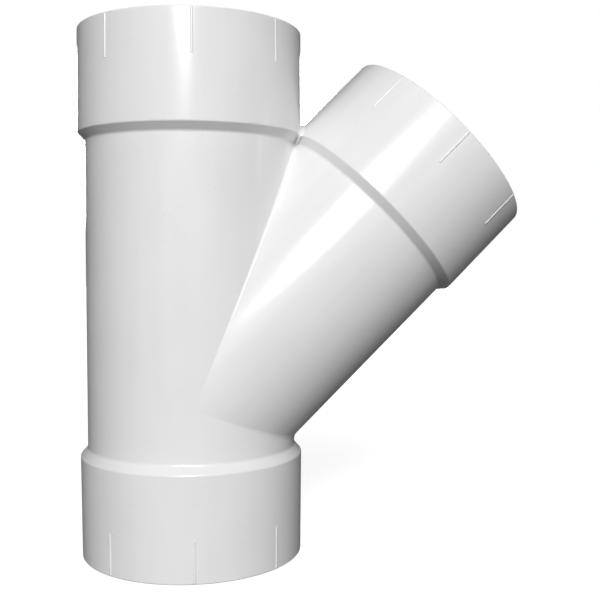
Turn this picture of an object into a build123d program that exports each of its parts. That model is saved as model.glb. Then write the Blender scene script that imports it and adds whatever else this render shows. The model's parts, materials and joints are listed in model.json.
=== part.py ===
from build123d import *
import os
from math import radians, tan

# 45 degree lateral wye for 6 inch (DN 150) solvent-weld drain pipe, injection moulded in one piece.
# Two run legs lie on the Z axis and the branch leg rises at branch_angle from +Z towards +X.
# The origin is the centre of the lower run leg's mouth, on which the fitting stands.
# All lengths are in millimetres.

# pipe and sockets
pipe_diameter = 168.28  # outside of the pipe that the sockets take
socket_clearance = 0.16  # radial gap between pipe and socket
socket_depth = 76.2
lead_in = 1.5  # 45 degree bevel inside each mouth

# walls
hub_wall = 7.1  # at the root of the hub, round the socket
stop_height = 7.25  # step at the bottom of the socket, down to the waterway
body_wall = 8.55  # between the waterway and the outside of the barrel

# legs, each measured from the point where the axes cross to the bottom of its socket
branch_angle = 45.0
arm_to_stop = 220.2  # the upper run leg and the branch are alike
foot_to_stop = 55.0  # the lower run leg

# hubs
stop_land = 6.6  # length of hub behind the bottom of the socket
shoulder_length = 6.4  # conical step from hub to barrel
hub_draft = 0.5  # degrees, the hub narrows towards its mouth
mouth_round = 1.0  # outer edge of the mouth
shoulder_round = 0.8  # outer edge of the shoulder
neck_round = 1.2  # inner corner where the shoulder meets the barrel

# alignment ribs round each mouth
rib_count = 8
rib_length = 33.0
rib_width = 2.2
rib_crown = 1.3  # width of the rib's flat top
rib_height = 0.55
rib_sink = 1.0  # how far a rib's foot reaches into the hub
rib_setback = 0.9  # gap between the mouth and the rib's end

# plastic that fills the creases where two legs meet
upper_fill = 4.2  # rise above the bottom of the V between the upper run leg and the branch
lower_fill = 1.2  # rise in the wide corner between the branch and the lower run leg
fill_start = 8.0  # a fill begins this far from the crossing, where its crease is still flat
fill_half_thickness = 8.0  # buried in the legs on both sides

# derived sizes
socket_radius = pipe_diameter / 2 + socket_clearance
hub_radius = socket_radius + hub_wall
bore_radius = socket_radius - stop_height  # waterway
barrel_radius = bore_radius + body_wall
cross_height = foot_to_stop + socket_depth  # the axes cross at this height


def leg_length(to_stop):
    return to_stop + socket_depth


def mouth_radius():
    return hub_radius - (socket_depth + stop_land) * tan(radians(hub_draft))


def round_corner(profile, radius, height, size):
    corner = profile.vertices().sort_by_distance((radius, 0, height))[0]
    return fillet(corner, size)


def leg_outside(to_stop):
    """Solid outside of one leg, on +Z from the crossing point: barrel, shoulder and drafted hub."""
    mouth = leg_length(to_stop)
    hub_start = to_stop - stop_land
    shoulder_start = hub_start - shoulder_length
    outline = Polyline(
        (0, 0),
        (barrel_radius, 0),
        (barrel_radius, shoulder_start),
        (hub_radius, hub_start),
        (mouth_radius(), mouth),
        (0, mouth),
        close=True,
    )
    profile = make_face(Plane.XZ * outline)
    profile = round_corner(profile, barrel_radius, shoulder_start, neck_round)
    profile = round_corner(profile, hub_radius, hub_start, shoulder_round)
    profile = round_corner(profile, mouth_radius(), mouth, mouth_round)
    return revolve(profile, Axis.Z)


def leg_inside(to_stop):
    """Everything that is cut from one leg: waterway, socket and the bevel inside the mouth."""
    mouth = leg_length(to_stop)
    outline = Polyline(
        (0, 0),
        (bore_radius, 0),
        (bore_radius, to_stop),
        (socket_radius, to_stop),
        (socket_radius, mouth - lead_in),
        (socket_radius + lead_in, mouth),
        (0, mouth),
        close=True,
    )
    return revolve(make_face(Plane.XZ * outline), Axis.Z)


def leg_ribs(to_stop):
    """Alignment ribs on one leg's hub. They run down from the mouth and follow the hub's draft."""
    rib_section = make_face(
        Polyline(
            (-rib_sink, -rib_width / 2),
            (0, -rib_width / 2),
            (rib_height, -rib_crown / 2),
            (rib_height, rib_crown / 2),
            (0, rib_width / 2),
            (-rib_sink, rib_width / 2),
            close=True,
        )
    )
    rib_end = leg_length(to_stop) - rib_setback
    rib_foot = mouth_radius() + rib_setback * tan(radians(hub_draft))
    rib = Pos(rib_foot, 0, rib_end) * Rot(Y=180 - hub_draft) * Rot(Z=180) * extrude(rib_section, rib_length)
    return [Rot(Z=360 * index / rib_count) * rib for index in range(rib_count)]


def crease_fill(to_stop, angle_between, rise):
    """Plate between a leg on +Z and another that leans angle_between away from it towards +X.
    Their crease is the leg's outline in the plane half way between them, and that outline,
    moved out by rise, fills the bottom of the crease."""
    leg = Rot(Y=-angle_between / 2) * leg_outside(to_stop)
    outline = section(leg, section_by=Plane.YZ)
    plate = extrude(Pos(0, 0, rise) * outline, fill_half_thickness, dir=(1, 0, 0), both=True)
    reach = 2 * leg_length(to_stop)
    beyond = Pos(0, 0, fill_start) * Box(reach, reach, reach, align=(Align.CENTER, Align.CENTER, Align.MIN))
    return Rot(Y=angle_between / 2) * (plate & beyond)


legs = [
    (Location(), arm_to_stop),
    (Rot(Y=branch_angle), arm_to_stop),
    (Rot(X=180), foot_to_stop),
]

outside = [place * leg_outside(to_stop) for place, to_stop in legs]
inside = [place * leg_inside(to_stop) for place, to_stop in legs]
ribs = [place * rib for place, to_stop in legs for rib in leg_ribs(to_stop)]

fills = [
    crease_fill(arm_to_stop, branch_angle, upper_fill),
    Rot(X=180) * crease_fill(foot_to_stop, 180 - branch_angle, lower_fill),
]

body = outside[0] + outside[1] + outside[2]
body = body + fills
body = body + ribs
body = body - inside[0] - inside[1] - inside[2]
wye_fitting = Pos(0, 0, cross_height) * body

os.makedirs("parts", exist_ok=True)
export_step(wye_fitting, "parts/wye_fitting.step")
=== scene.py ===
import json
import math

import bpy
from mathutils import Matrix, Vector

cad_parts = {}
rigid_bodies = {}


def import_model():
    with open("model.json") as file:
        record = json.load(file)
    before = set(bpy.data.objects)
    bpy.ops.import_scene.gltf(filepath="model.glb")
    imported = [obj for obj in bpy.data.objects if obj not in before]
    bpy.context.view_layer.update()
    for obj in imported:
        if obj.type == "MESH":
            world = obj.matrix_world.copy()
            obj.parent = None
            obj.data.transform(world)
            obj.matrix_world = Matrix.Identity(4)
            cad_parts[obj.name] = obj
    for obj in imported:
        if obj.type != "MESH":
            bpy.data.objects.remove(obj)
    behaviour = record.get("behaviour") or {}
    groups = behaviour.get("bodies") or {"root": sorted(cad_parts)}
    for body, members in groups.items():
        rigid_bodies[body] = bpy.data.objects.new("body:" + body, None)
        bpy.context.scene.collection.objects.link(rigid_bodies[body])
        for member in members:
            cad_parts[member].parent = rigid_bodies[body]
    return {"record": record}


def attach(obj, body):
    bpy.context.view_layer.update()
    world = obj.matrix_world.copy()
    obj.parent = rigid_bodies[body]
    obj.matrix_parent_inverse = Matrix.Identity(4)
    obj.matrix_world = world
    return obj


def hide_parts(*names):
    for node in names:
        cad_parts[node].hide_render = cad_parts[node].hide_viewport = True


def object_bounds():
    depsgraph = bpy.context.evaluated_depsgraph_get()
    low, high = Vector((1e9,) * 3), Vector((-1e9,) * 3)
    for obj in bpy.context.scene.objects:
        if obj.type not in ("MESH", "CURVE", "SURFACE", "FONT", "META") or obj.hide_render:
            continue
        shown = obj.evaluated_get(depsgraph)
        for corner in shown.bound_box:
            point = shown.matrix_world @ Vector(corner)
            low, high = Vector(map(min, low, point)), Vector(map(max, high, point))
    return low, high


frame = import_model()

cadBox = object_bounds()
sockets = {mount["name"]: mount for mount in frame["record"]["mounts"]}

# the fitting stands on its lower hub; run along +Z, branch leaning towards +X
lowerMouth = Vector(sockets["lower_run_socket"]["pos_m"])
upperMouth = Vector(sockets["upper_run_socket"]["pos_m"])
branchMouth = Vector(sockets["branch_socket"]["pos_m"])
branchWay = Vector(sockets["branch_socket"]["axis"])
crossing = branchMouth - branchWay * (branchMouth.x / branchWay.x)  # where the axes cross
branchLean = math.degrees(math.atan2(branchWay.x, branchWay.z))

# each leg starts at the crossing; lean is its angle from straight up, in degrees
legs = {
    "upperLeg": {"lean": 0, "length": (upperMouth - crossing).length, "part": "run"},
    "branchLeg": {"lean": branchLean, "length": (branchMouth - crossing).length, "part": "branch"},
    "lowerLeg": {"lean": 180, "length": (lowerMouth - crossing).length, "part": "run"},
}
print("frame: axes cross at height", round(crossing.z, 4), "branch leans", round(branchLean, 2))

camera = {
    "place": (-0.0101, -0.7666, 0.2483),
    "heading": 7.53,  # degrees to the right of straight ahead
    "tilt": -2.95,  # degrees, looking down
    "lens": 54.8,  # millimetres
    "sensor": 36,
}


def addCamera():
    data = bpy.data.cameras.new("studioCamera")
    data.lens = camera["lens"]
    data.sensor_width = camera["sensor"]
    eye = bpy.data.objects.new("studioCamera", data)
    bpy.context.collection.objects.link(eye)
    eye.location = camera["place"]
    eye.rotation_euler = (math.radians(90 + camera["tilt"]), 0, math.radians(-camera["heading"]))
    bpy.context.scene.camera = eye


# bearing and rise are degrees as seen from the fitting: 0 is straight in front, minus is left.
# turn spins a softbox about the line to the fitting, and gloss is how much the plastic mirrors it
softboxes = {
    "keyBox": {"bearing": -9.4, "rise": 25.6, "turn": 45, "size": (2.1, 0.9), "watts": 345, "gloss": 1},
    "wingBox": {"bearing": -17, "rise": 32, "turn": 0, "size": (1.0, 1.0), "watts": 76, "gloss": 1},
    "trailBox": {"bearing": -6, "rise": 18, "turn": 0, "size": (1.3, 0.6), "watts": 85, "gloss": 1},
    "highBox": {"bearing": 3, "rise": 45, "turn": 0, "size": (2.6, 2.6), "watts": 136, "gloss": 0},
    "lowBox": {"bearing": -4, "rise": 6, "turn": 0, "size": (8.8, 1.0), "watts": 28, "gloss": 0},
    "sideBox": {"bearing": 85, "rise": 5, "turn": 0, "size": (2.6, 1.4), "watts": 28, "gloss": 0.5},
    "backBox": {"bearing": 180, "rise": 8, "turn": 0, "size": (4.8, 1.6), "watts": 480, "gloss": 0},
}
softboxDistance = 8  # metres from the middle of the fitting


def addSoftboxes():
    aim = (Vector(cadBox[0]) + Vector(cadBox[1])) / 2
    for name, box in softboxes.items():
        data = bpy.data.lights.new(name, "AREA")
        data.shape = "RECTANGLE"
        data.size, data.size_y = box["size"]
        data.energy = box["watts"]
        data.specular_factor = box["gloss"]
        lamp = bpy.data.objects.new(name, data)
        bpy.context.collection.objects.link(lamp)
        bearing = math.radians(box["bearing"])
        rise = math.radians(box["rise"])
        flat = math.cos(rise)
        way = Vector((math.sin(bearing) * flat, -math.cos(bearing) * flat, math.sin(rise)))
        lamp.location = aim + way * softboxDistance
        aimed = way.to_track_quat("Z", "Y").to_matrix()
        lamp.rotation_euler = (aimed @ Matrix.Rotation(math.radians(box["turn"]), 3, "Z")).to_euler()


# numbers and sockets may both be given to these three
def feed(tree, target, value):
    if isinstance(value, bpy.types.NodeSocket):
        tree.links.new(value, target)
    else:
        target.default_value = value


def calc(tree, operation, first, second=0.0):
    node = tree.nodes.new("ShaderNodeMath")
    node.operation = operation
    feed(tree, node.inputs[0], first)
    feed(tree, node.inputs[1], second)
    return node.outputs["Value"]


def spread(tree, value, low, high, newLow, newHigh):
    # maps low..high to newLow..newHigh and holds the ends
    node = tree.nodes.new("ShaderNodeMapRange")
    for label, number in (("Value", value), ("From Min", low), ("From Max", high),
                          ("To Min", newLow), ("To Max", newHigh)):
        feed(tree, node.inputs[label], number)
    return node.outputs["Result"]


backdrop = {
    "white": 1.0,  # what the camera sees
    "mirrored": 0.06,  # how much of it the gloss picks up
    "fill": 0.045,  # light that comes from all round
}


def backdropShare(tree):
    # 1 for rays from the camera and through clear things, less for mirrored ones, 0 for plain light
    path = tree.nodes.new("ShaderNodeLightPath")
    straight = calc(tree, "MAXIMUM", path.outputs["Is Camera Ray"], path.outputs["Is Transmission Ray"])
    mirrored = calc(tree, "MULTIPLY", path.outputs["Is Glossy Ray"], backdrop["mirrored"])
    return calc(tree, "MAXIMUM", straight, mirrored)


def addWorld():
    world = bpy.data.worlds.new("studio")
    bpy.context.scene.world = world
    world.use_nodes = True
    tree = world.node_tree
    tree.nodes.clear()
    out = tree.nodes.new("ShaderNodeOutputWorld")
    air = tree.nodes.new("ShaderNodeBackground")
    air.inputs["Color"].default_value = (1, 1, 1, 1)
    seen = calc(tree, "MULTIPLY", backdropShare(tree), backdrop["white"])
    feed(tree, air.inputs["Strength"], calc(tree, "MAXIMUM", seen, backdrop["fill"]))
    tree.links.new(air.outputs["Background"], out.inputs["Surface"])


floor = {
    "side": 12,
    "paint": 0.10,  # grey that lights the fitting from below
    "seenPaint": 0.3,  # grey that the camera sees the shadow on
    "nearGlow": 0.86,  # lifts the paint to white for the camera, less beside the fitting for its shadow
    "farGlow": 1.0,
    "nearReach": 0.35,  # metres from the run's foot
    "farReach": 0.9,
}


def addFloor():
    clearSelection()
    bpy.ops.mesh.primitive_plane_add(size=floor["side"])
    sheet = bpy.context.object
    sheet.name = "floor"
    paint = bpy.data.materials.new("floorPaint")
    paint.use_nodes = True
    tree = paint.node_tree
    tree.nodes.clear()
    out = tree.nodes.new("ShaderNodeOutputMaterial")
    both = tree.nodes.new("ShaderNodeAddShader")
    matt = tree.nodes.new("ShaderNodeBsdfDiffuse")
    glow = tree.nodes.new("ShaderNodeEmission")
    place = tree.nodes.new("ShaderNodeTexCoord")
    reach = tree.nodes.new("ShaderNodeVectorMath")
    reach.operation = "LENGTH"
    path = tree.nodes.new("ShaderNodeLightPath")
    grey = spread(tree, path.outputs["Is Camera Ray"], 0, 1, floor["paint"], floor["seenPaint"])
    feed(tree, matt.inputs["Color"], grey)
    tree.links.new(place.outputs["Object"], reach.inputs[0])
    lift = spread(tree, reach.outputs["Value"], floor["nearReach"], floor["farReach"],
                  floor["nearGlow"], floor["farGlow"])
    feed(tree, glow.inputs["Strength"], calc(tree, "MULTIPLY", lift, backdropShare(tree)))
    tree.links.new(matt.outputs["BSDF"], both.inputs[0])
    tree.links.new(glow.outputs["Emission"], both.inputs[1])
    tree.links.new(both.outputs["Shader"], out.inputs["Surface"])
    sheet.data.materials.append(paint)


def startGroup(name, labels, result):
    # a node group with a Vector input, number inputs and one number output
    group = bpy.data.node_groups.new(name, "ShaderNodeTree")
    group.interface.new_socket("Vector", in_out="INPUT", socket_type="NodeSocketVector")
    for label in labels:
        group.interface.new_socket(label, in_out="INPUT", socket_type="NodeSocketFloat")
    group.interface.new_socket(result, in_out="OUTPUT", socket_type="NodeSocketFloat")
    entry = group.nodes.new("NodeGroupInput")
    leave = group.nodes.new("NodeGroupOutput")
    return group, entry.outputs, leave.inputs[result]


def noise(tree, vector, spacing, detail):
    node = tree.nodes.new("ShaderNodeTexNoise")
    feed(tree, node.inputs["Vector"], vector)
    feed(tree, node.inputs["Scale"], calc(tree, "DIVIDE", 1.0, spacing))
    node.inputs["Detail"].default_value = detail
    return node.outputs["Fac"]


def turned(tree, vector, turn):
    node = tree.nodes.new("ShaderNodeMapping")
    feed(tree, node.inputs["Vector"], vector)
    node.inputs["Rotation"].default_value = turn
    return node.outputs["Vector"]


def drawnOut(tree, vector, share):
    # a pattern on this vector is drawn out along Z; share is its old length over its new one
    node = tree.nodes.new("ShaderNodeMapping")
    feed(tree, node.inputs["Vector"], vector)
    node.inputs["Scale"].default_value = (1, 1, share)
    return node.outputs["Vector"]


# the settings of the effects are in metres, apart from shares and the low and high ends of a pattern
ripple = {
    "spacing": 0.022,
    "grainSpacing": 0.0014,
    "detail": 1.5,
}
noiseMiddle = 0.5  # the level between hills and hollows


def makeRippleGroup():
    # soft hills and hollows that a moulded skin has
    group, given, result = startGroup("skinRipple", ["Spacing", "Height"], "Height")
    waves = noise(group, given["Vector"], given["Spacing"], ripple["detail"])
    hills = calc(group, "SUBTRACT", waves, noiseMiddle)
    feed(group, result, calc(group, "MULTIPLY", hills, given["Height"]))
    return group


drift = {
    "spacing": 0.09,
    "cloudDetail": 3.0,
    "cloudShare": 0.7,
    "streakSpacing": 0.012,
    "streakDetail": 2.0,
    "streakShare": 0.3,
    "streakDraw": 0.12,
    "low": 0.36,
    "high": 0.64,
}


def makeDriftGroup():
    # slow drift of the colour and the gloss, with faint flow streaks in it
    group, given, result = startGroup("toneDrift", ["Spacing"], "Tone")
    clouds = noise(group, given["Vector"], given["Spacing"], drift["cloudDetail"])
    along = drawnOut(group, given["Vector"], drift["streakDraw"])
    streaks = noise(group, along, drift["streakSpacing"], drift["streakDetail"])
    both = calc(group, "ADD",
                calc(group, "MULTIPLY", clouds, drift["cloudShare"]),
                calc(group, "MULTIPLY", streaks, drift["streakShare"]))
    feed(group, result, spread(group, both, drift["low"], drift["high"], 0.0, 1.0))
    return group


scuffs = {
    "spacing": 0.0011,
    "turns": ((0.5, 0.9, 0.0), (-0.9, -0.4, 0.6)),  # the two ways that things rubbed past, in radians
    "draw": 0.04,
    "low": 0.70,
    "high": 0.78,
    "patchSpacing": 0.045,
    "patchLow": 0.50,
    "patchHigh": 0.66,
}


def makeScuffGroup():
    # hair-fine rub marks in two directions, only in patches; Amount 0 to 1
    group, given, result = startGroup("hairScuffs", ["Spacing", "Amount"], "Mask")
    marks = []
    for turn in scuffs["turns"]:
        along = drawnOut(group, turned(group, given["Vector"], turn), scuffs["draw"])
        hairs = noise(group, along, given["Spacing"], 0.0)
        marks.append(spread(group, hairs, scuffs["low"], scuffs["high"], 0.0, 1.0))
    clouds = noise(group, given["Vector"], scuffs["patchSpacing"], 1.0)
    patches = spread(group, clouds, scuffs["patchLow"], scuffs["patchHigh"], 0.0, 1.0)
    lines = calc(group, "MULTIPLY", calc(group, "MAXIMUM", marks[0], marks[1]), patches)
    feed(group, result, calc(group, "MULTIPLY", lines, given["Amount"]))
    return group


parting = {
    "width": 0.0010,
    "wanderSpacing": 0.03,
    "strength": 0.8,  # how far it counts as a mark in the colour and the gloss
}


def makePartingGroup():
    # the line where the two mould halves meet, on the plane through the three axes
    group, given, result = startGroup("partingLine", ["Width"], "Mask")
    split = group.nodes.new("ShaderNodeSeparateXYZ")
    feed(group, split.inputs["Vector"], given["Vector"])
    waves = noise(group, given["Vector"], parting["wanderSpacing"], 1.0)
    sway = calc(group, "SUBTRACT", waves, noiseMiddle)
    wander = calc(group, "MULTIPLY", sway, given["Width"])
    away = calc(group, "ABSOLUTE", calc(group, "ADD", split.outputs["Y"], wander))
    half = calc(group, "MULTIPLY", given["Width"], 0.5)
    feed(group, result, spread(group, away, 0.0, half, 1.0, 0.0))
    return group


drawMarks = {
    "spacing": 0.0009,
    "detail": 2.0,
    "draw": 0.01,
    "low": 0.40,
    "high": 0.62,
}


def makeDrawGroup():
    # fine lines that a core leaves when it is pulled out along the bore, which lies on the vector's Z
    group, given, result = startGroup("drawLines", ["Spacing"], "Lines")
    along = drawnOut(group, given["Vector"], drawMarks["draw"])
    lines = noise(group, along, given["Spacing"], drawMarks["detail"])
    feed(group, result, spread(group, lines, drawMarks["low"], drawMarks["high"], 0.0, 1.0))
    return group


plastic = {
    "ior": 1.53,
    "markTint": 0.35,  # how far a mark takes on the mark tone
    "markDull": 0.12,  # roughness that a mark adds
}

# gloss and dull are the roughness of the lightest and the deepest tone, heights are in metres
surfaces = {
    "Outside": {
        "lightTone": (0.842, 0.842, 0.842, 1), "deepTone": (0.805, 0.805, 0.803, 1),
        "markTone": (0.62, 0.62, 0.615, 1),
        "gloss": 0.16, "dull": 0.21, "scuffs": 0.6,
        "rippleHeight": 0.00010, "grainHeight": 0.000004, "partingHeight": 0.00012, "drawHeight": 0,
    },
    "Bore": {
        "lightTone": (0.83, 0.83, 0.828, 1), "deepTone": (0.79, 0.79, 0.786, 1),
        "markTone": (0.62, 0.62, 0.615, 1),
        "gloss": 0.24, "dull": 0.34, "scuffs": 0.2,
        "rippleHeight": 0.00008, "grainHeight": 0.000006, "partingHeight": 0, "drawHeight": 0.000012,
    },
}
partLeans = {"run": 0, "branch": branchLean}
finishes = {part + surface: dict(look, lean=lean)
            for part, lean in partLeans.items() for surface, look in surfaces.items()}


def makePlastic(name, groups):
    look = finishes[name]
    paint = bpy.data.materials.new("whitePlastic_" + name)
    paint.use_nodes = True
    tree = paint.node_tree
    skin = tree.nodes["Principled BSDF"]
    skin.inputs["IOR"].default_value = plastic["ior"]
    place = tree.nodes.new("ShaderNodeTexCoord").outputs["Object"]
    level = turned(tree, place, (0, math.radians(-look["lean"]), 0))

    def use(effect, vector, result, **numbers):
        node = tree.nodes.new("ShaderNodeGroup")
        node.node_tree = groups[effect]
        feed(tree, node.inputs["Vector"], vector)
        for label, number in numbers.items():
            node.inputs[label].default_value = number
        return node.outputs[result]

    def blend(amount, first, second):
        node = tree.nodes.new("ShaderNodeMix")
        node.data_type = "RGBA"
        feed(tree, node.inputs["Factor"], amount)
        feed(tree, node.inputs["A"], first)
        feed(tree, node.inputs["B"], second)
        return node.outputs["Result"]

    tone = use("toneDrift", level, "Tone", Spacing=drift["spacing"])
    marks = use("hairScuffs", place, "Mask", Spacing=scuffs["spacing"], Amount=look["scuffs"])
    hills = use("skinRipple", place, "Height", Spacing=ripple["spacing"], Height=look["rippleHeight"])
    grain = use("skinRipple", place, "Height", Spacing=ripple["grainSpacing"], Height=look["grainHeight"])
    height = calc(tree, "ADD", hills, grain)
    if look["partingHeight"]:
        seam = use("partingLine", place, "Mask", Width=parting["width"])
        marks = calc(tree, "MAXIMUM", marks, calc(tree, "MULTIPLY", seam, parting["strength"]))
        height = calc(tree, "ADD", height, calc(tree, "MULTIPLY", seam, look["partingHeight"]))
    if look["drawHeight"]:
        lines = use("drawLines", level, "Lines", Spacing=drawMarks["spacing"])
        height = calc(tree, "ADD", height, calc(tree, "MULTIPLY", lines, look["drawHeight"]))
    colour = blend(tone, look["lightTone"], look["deepTone"])
    tint = calc(tree, "MULTIPLY", marks, plastic["markTint"])
    feed(tree, skin.inputs["Base Color"], blend(tint, colour, look["markTone"]))
    rough = spread(tree, tone, 0.0, 1.0, look["gloss"], look["dull"])
    rubbed = calc(tree, "MULTIPLY", marks, plastic["markDull"])
    feed(tree, skin.inputs["Roughness"], calc(tree, "ADD", rough, rubbed))
    bump = tree.nodes.new("ShaderNodeBump")
    bump.inputs["Distance"].default_value = 1.0  # heights are in metres
    feed(tree, bump.inputs["Height"], height)
    tree.links.new(bump.outputs["Normal"], skin.inputs["Normal"])
    return paint


# metres, apart from the counts and angles
moulding = {
    "sides": 240,  # around each wall
    "socket": sockets["lower_run_socket"]["dims"]["r_mm"] / 1000,
    "socketDepth": 0.0762,
    "leadIn": 0.0015,
    "hubWall": 0.0071,
    "hubDraft": math.radians(0.5),
    "stopHeight": 0.00725,
    "bodyWall": 0.00855,
    "stopLand": 0.0066,
    "shoulder": 0.0064,
    "mouthRound": 0.0010,
    "shoulderRound": 0.0008,
    "neckRound": 0.0012,
    "stopRound": 0.0006,
    "roundSteps": 4,
    "upperFill": 0.5,  # degrees each wall is trimmed short of a crease before the blend is made
    "lowerFill": 1.85,
    "blendSteps": 4,
    "smoothAngle": math.radians(35),  # edges sharper than this stay crisp
}
outsideSlot, boreSlot = 0, 1
slack = 1e-5  # metres, when points are picked by their place
cutSlack = 1e-6  # metres, when a wall is cut
weldGap = 2e-6  # metres, points closer than this become one


def clearSelection():
    if bpy.context.object and bpy.context.object.mode == "EDIT":
        bpy.ops.object.mode_set(mode="OBJECT")
    bpy.ops.object.select_all(action="DESELECT")


def takeUp(piece):
    clearSelection()
    piece.select_set(True)
    bpy.context.view_layer.objects.active = piece


def growWall(outline, sides):
    # a ring of edges, grown step by step along (radius, height) points
    radius, height = outline[0]
    bpy.ops.mesh.primitive_circle_add(vertices=sides, radius=radius, location=(0, 0, height))
    bpy.ops.object.transform_apply(location=True)
    bpy.ops.object.mode_set(mode="EDIT")
    bpy.ops.mesh.select_all(action="SELECT")
    for nextRadius, nextHeight in outline[1:]:
        bpy.ops.mesh.extrude_edges_move(
            TRANSFORM_OT_translate={"value": (0, 0, nextHeight - height)})
        scale = nextRadius / radius
        bpy.ops.transform.resize(value=(scale, scale, 1), center_override=(0, 0, nextHeight))
        radius, height = nextRadius, nextHeight


def pickRing(wall, radius, height):
    # selects the ring of edges at this radius and height
    bpy.ops.mesh.select_all(action="DESELECT")
    bpy.ops.object.mode_set(mode="OBJECT")
    points = wall.data.vertices
    near = [abs(p.co.z - height) < slack and abs(math.hypot(p.co.x, p.co.y) - radius) < slack
            for p in points]
    for edge in wall.data.edges:
        edge.select = near[edge.vertices[0]] and near[edge.vertices[1]]
    bpy.ops.object.mode_set(mode="EDIT")
    bpy.ops.mesh.select_mode(type="EDGE")


def rimRadius():
    # the hub's outer radius at its mouth, where the draft has made it smallest
    m = moulding
    return m["socket"] + m["hubWall"] - (m["socketDepth"] + m["stopLand"]) * math.tan(m["hubDraft"])


def makeLeg(name, paints):
    m = moulding
    leg = legs[name]
    length = leg["length"]
    hub = m["socket"] + m["hubWall"]
    bore = m["socket"] - m["stopHeight"]
    barrel = bore + m["bodyWall"]
    stop = length - m["socketDepth"]
    hubStart = stop - m["stopLand"]
    neck = hubStart - m["shoulder"]
    rim = rimRadius()
    outline = [
        (barrel, 0),
        (barrel, neck),
        (hub, hubStart),
        (rim, length),
        (m["socket"] + m["leadIn"], length),
        (m["socket"], length - m["leadIn"]),
        (m["socket"], stop),
        (bore, stop),
        (bore, 0),
    ]
    clearSelection()
    growWall(outline, m["sides"])
    wall = bpy.context.object
    wall.name = name
    rounds = [
        (barrel, neck, m["neckRound"]),
        (hub, hubStart, m["shoulderRound"]),
        (rim, length, m["mouthRound"]),
        (bore, stop, m["stopRound"]),
    ]
    for radius, height, width in rounds:
        pickRing(wall, radius, height)
        bpy.ops.mesh.bevel(offset=width, segments=m["roundSteps"], affect="EDGES", clamp_overlap=False)
    bpy.ops.object.mode_set(mode="OBJECT")
    wall.data.materials.append(paints[leg["part"] + "Outside"])
    wall.data.materials.append(paints[leg["part"] + "Bore"])
    for face in wall.data.polygons:
        apart = math.hypot(face.center.x, face.center.y)
        inSocket = face.center.z > stop - m["stopRound"]
        inner = m["socket"] + m["leadIn"] if inSocket else (bore + barrel) / 2
        face.material_index = boreSlot if apart < inner - slack else outsideSlot
    wall.data.transform(Matrix.Translation(crossing) @ Matrix.Rotation(math.radians(leg["lean"]), 4, "Y"))
    return wall


def trimWall(wall, slot, angle, keepBelow):
    # cuts the leg's outer or inner wall by a plane through the crossing's Y axis, angle from +Z
    takeUp(wall)
    for face in wall.data.polygons:
        face.select = face.material_index == slot
    bpy.ops.object.mode_set(mode="EDIT")
    bpy.ops.mesh.select_mode(type="FACE")
    turn = math.radians(angle)
    bpy.ops.mesh.bisect(
        plane_co=crossing,
        plane_no=(math.cos(turn), 0, -math.sin(turn)),
        clear_outer=keepBelow,
        clear_inner=not keepBelow,
        threshold=cutSlack)
    bpy.ops.object.mode_set(mode="OBJECT")


def makeBody(paints):
    walls = {name: makeLeg(name, paints) for name in legs}
    print("legs:", ", ".join("%s %.4f m" % (name, leg["length"]) for name, leg in legs.items()))
    upper = branchLean / 2
    lower = (branchLean + 180) / 2
    creases = [
        ("upperLeg", "branchLeg", upper, moulding["upperFill"]),
        ("branchLeg", "lowerLeg", lower, moulding["lowerFill"]),
    ]
    for before, after, angle, opening in creases:
        trimWall(walls[before], outsideSlot, angle - opening, True)
        trimWall(walls[before], boreSlot, angle, True)
        trimWall(walls[after], outsideSlot, angle + opening, False)
        trimWall(walls[after], boreSlot, angle, False)
    clearSelection()
    for wall in walls.values():
        wall.select_set(True)
    bpy.context.view_layer.objects.active = walls["upperLeg"]
    bpy.ops.object.join()
    body = bpy.context.object
    body.name = "wyeMoulding"
    for _, _, angle, opening in creases:
        blendCrease(body, angle, opening, moulding["blendSteps"])
    takeUp(body)
    bpy.ops.object.mode_set(mode="EDIT")
    bpy.ops.mesh.select_mode(type="VERT")
    bpy.ops.mesh.select_all(action="SELECT")
    bpy.ops.mesh.remove_doubles(threshold=weldGap)
    bpy.ops.mesh.normals_make_consistent(inside=False)
    bpy.ops.object.mode_set(mode="OBJECT")
    print("body:", len(body.data.polygons), "faces,", countOpen(body), "open points")
    return body


def countOpen(piece):
    takeUp(piece)
    bpy.ops.object.mode_set(mode="EDIT")
    bpy.ops.mesh.select_mode(type="VERT")
    bpy.ops.mesh.select_all(action="DESELECT")
    bpy.ops.mesh.select_non_manifold()
    bpy.ops.object.mode_set(mode="OBJECT")
    return sum(point.select for point in piece.data.vertices)


def rimEdges(body, opening):
    # the open edges on the two trimmed walls beside a crease that lies in the YZ plane
    closeBy = slack / 2
    uses = {}
    for face in body.data.polygons:
        for key in face.edge_keys:
            uses[key] = uses.get(key, 0) + 1
    chosen = []
    for edge in body.data.edges:
        ends = [body.data.vertices[i].co for i in edge.vertices]
        slopes = [abs(end.x) - end.z * math.tan(opening) for end in ends]
        isOpen = uses.get(tuple(sorted(edge.vertices)), 0) == 1
        onTrim = max(abs(slope) for slope in slopes) < closeBy
        aboveCrossing = max(end.z for end in ends) > slack
        if isOpen and onTrim and aboveCrossing:
            chosen.append(edge.index)
    return chosen


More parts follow.
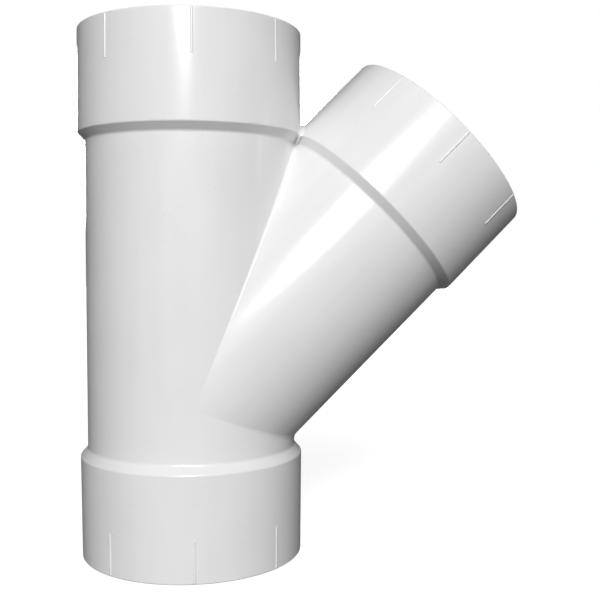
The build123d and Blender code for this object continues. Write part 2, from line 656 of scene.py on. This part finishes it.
def blendCrease(body, angle, opening, steps):
    # the two walls were trimmed a little short of the crease; a hollow round joins them.
    # its width follows the distance from the crossing, so it fades out where the walls run together
    opening = math.radians(opening)
    halfVee = math.radians(min(angle, 180 - angle))
    turn = Matrix.Rotation(math.radians(-angle), 4, "Y") @ Matrix.Translation(-crossing)
    body.data.transform(turn)
    takeUp(body)
    bpy.ops.object.mode_set(mode="EDIT")
    bpy.ops.mesh.select_mode(type="EDGE")
    bpy.ops.mesh.select_all(action="DESELECT")
    bpy.ops.object.mode_set(mode="OBJECT")
    for index in rimEdges(body, opening):
        body.data.edges[index].select = True
    bpy.ops.object.mode_set(mode="EDIT")
    width, depth = 1, 1
    sweep = math.pi / 2 - halfVee
    for step in range(1, steps + 1):
        swing = sweep * (1 - step / steps)
        nextWidth = math.sin(swing) / math.cos(halfVee)
        sag = math.cos(swing) / math.cos(halfVee) - math.tan(halfVee)
        nextDepth = 1 - sag * math.tan(opening)
        bpy.ops.mesh.extrude_edges_move(TRANSFORM_OT_translate={"value": (0, 0, 0)})
        bpy.ops.transform.resize(value=(nextWidth / width, 1, nextDepth / depth), center_override=(0, 0, 0))
        width, depth = nextWidth, nextDepth
    bpy.ops.object.mode_set(mode="OBJECT")
    body.data.transform(turn.inverted())


ribs = {
    "count": 8,  # around each hub
    "length": 0.033,
    "width": 0.0022,
    "crown": 0.0010,  # width of the flat top
    "height": 0.00055,
    "sink": 0.0010,  # how far the foot reaches into the hub
    "setback": 0.0009,  # from the mouth to the rib's end
    "edge": 0.00028,  # rounding of the crown's edges
    "edgeSteps": 3,
}


def makeRib():
    # one rib on the X axis, running down from the origin, crown towards +X
    r = ribs
    clearSelection()
    bpy.ops.mesh.primitive_cube_add(
        size=1, location=(-r["sink"] / 2, 0, -r["length"] / 2), scale=(r["sink"], r["width"], r["length"]))
    bpy.ops.object.transform_apply(location=True, rotation=True, scale=True)
    rib = bpy.context.object
    rib.name = "rib"
    bpy.ops.object.mode_set(mode="EDIT")
    bpy.ops.mesh.select_mode(type="FACE")
    bpy.ops.mesh.select_all(action="DESELECT")
    bpy.ops.object.mode_set(mode="OBJECT")
    for face in rib.data.polygons:
        face.select = face.normal.x > 0.9
    bpy.ops.object.mode_set(mode="EDIT")
    bpy.ops.mesh.extrude_region_move(TRANSFORM_OT_translate={"value": (r["height"], 0, 0)})
    middle = (r["height"], 0, -r["length"] / 2)
    endScale = 1 - (r["width"] - r["crown"]) / r["length"]
    bpy.ops.transform.resize(value=(1, r["crown"] / r["width"], endScale), center_override=middle)
    bpy.ops.mesh.bevel(offset=r["edge"], segments=r["edgeSteps"], affect="EDGES")
    bpy.ops.object.mode_set(mode="OBJECT")
    return rib


def addRibs(body, paints):
    rib = makeRib()
    m = moulding
    copies = []
    foot = rimRadius() + ribs["setback"] * math.tan(m["hubDraft"])
    follow = Matrix.Rotation(-m["hubDraft"], 4, "Y")
    for leg in legs.values():
        toLeg = Matrix.Translation(crossing) @ Matrix.Rotation(math.radians(leg["lean"]), 4, "Y")
        toHub = Matrix.Translation((foot, 0, leg["length"] - ribs["setback"]))
        for index in range(ribs["count"]):
            around = Matrix.Rotation(2 * math.pi * index / ribs["count"], 4, "Z")
            copy = rib.copy()
            copy.data = rib.data.copy()
            copy.data.materials.append(paints[leg["part"] + "Outside"])
            copy.data.transform(toLeg @ around @ toHub @ follow)
            bpy.context.collection.objects.link(copy)
            copies.append(copy)
    bpy.data.objects.remove(rib)
    clearSelection()
    for copy in copies:
        copy.select_set(True)
    bpy.context.view_layer.objects.active = copies[0]
    bpy.ops.object.join()
    rack = bpy.context.object
    takeUp(body)
    merge = body.modifiers.new("ribs", "BOOLEAN")
    merge.operation = "UNION"
    merge.solver = "EXACT"
    merge.object = rack
    bpy.ops.object.modifier_apply(modifier=merge.name)
    bpy.data.objects.remove(rack)
    print("ribs:", len(copies), "raised on the hubs,", countOpen(body), "open points")


orderPoint = (0.913, -1.371, 1.729)  # off every axis, so that no two points are as far from it


def putInOrder(body):
    # the bevels and the ribs leave points and faces in another order on each run; sorted by their
    # distance from one point, they come out the same each time
    bpy.context.scene.cursor.location = orderPoint
    takeUp(body)
    bpy.ops.object.mode_set(mode="EDIT")
    bpy.ops.mesh.select_mode(type="VERT")
    bpy.ops.mesh.select_all(action="SELECT")
    bpy.ops.mesh.sort_elements(type="CURSOR_DISTANCE", elements={"VERT", "EDGE", "FACE"})
    bpy.ops.object.mode_set(mode="OBJECT")


def smoothBody(body):
    takeUp(body)
    bpy.ops.object.shade_smooth_by_angle(angle=moulding["smoothAngle"])
    smoothing = body.modifiers.new("weightedNormals", "WEIGHTED_NORMAL")
    smoothing.keep_sharp = True
    bpy.ops.object.modifier_apply(modifier=smoothing.name)


bpy.context.scene.view_settings.view_transform = "Standard"
addCamera()
addSoftboxes()
addWorld()
addFloor()
print("studio:", len(softboxes), "softboxes")

effects = {
    "skinRipple": makeRippleGroup(),
    "toneDrift": makeDriftGroup(),
    "hairScuffs": makeScuffGroup(),
    "partingLine": makePartingGroup(),
    "drawLines": makeDrawGroup(),
}
paints = {name: makePlastic(name, effects) for name in finishes}
print("finishes:", ", ".join(paints))

body = makeBody(paints)
addRibs(body, paints)
putInOrder(body)
smoothBody(body)
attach(body, "root")
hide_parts("wye_fitting")
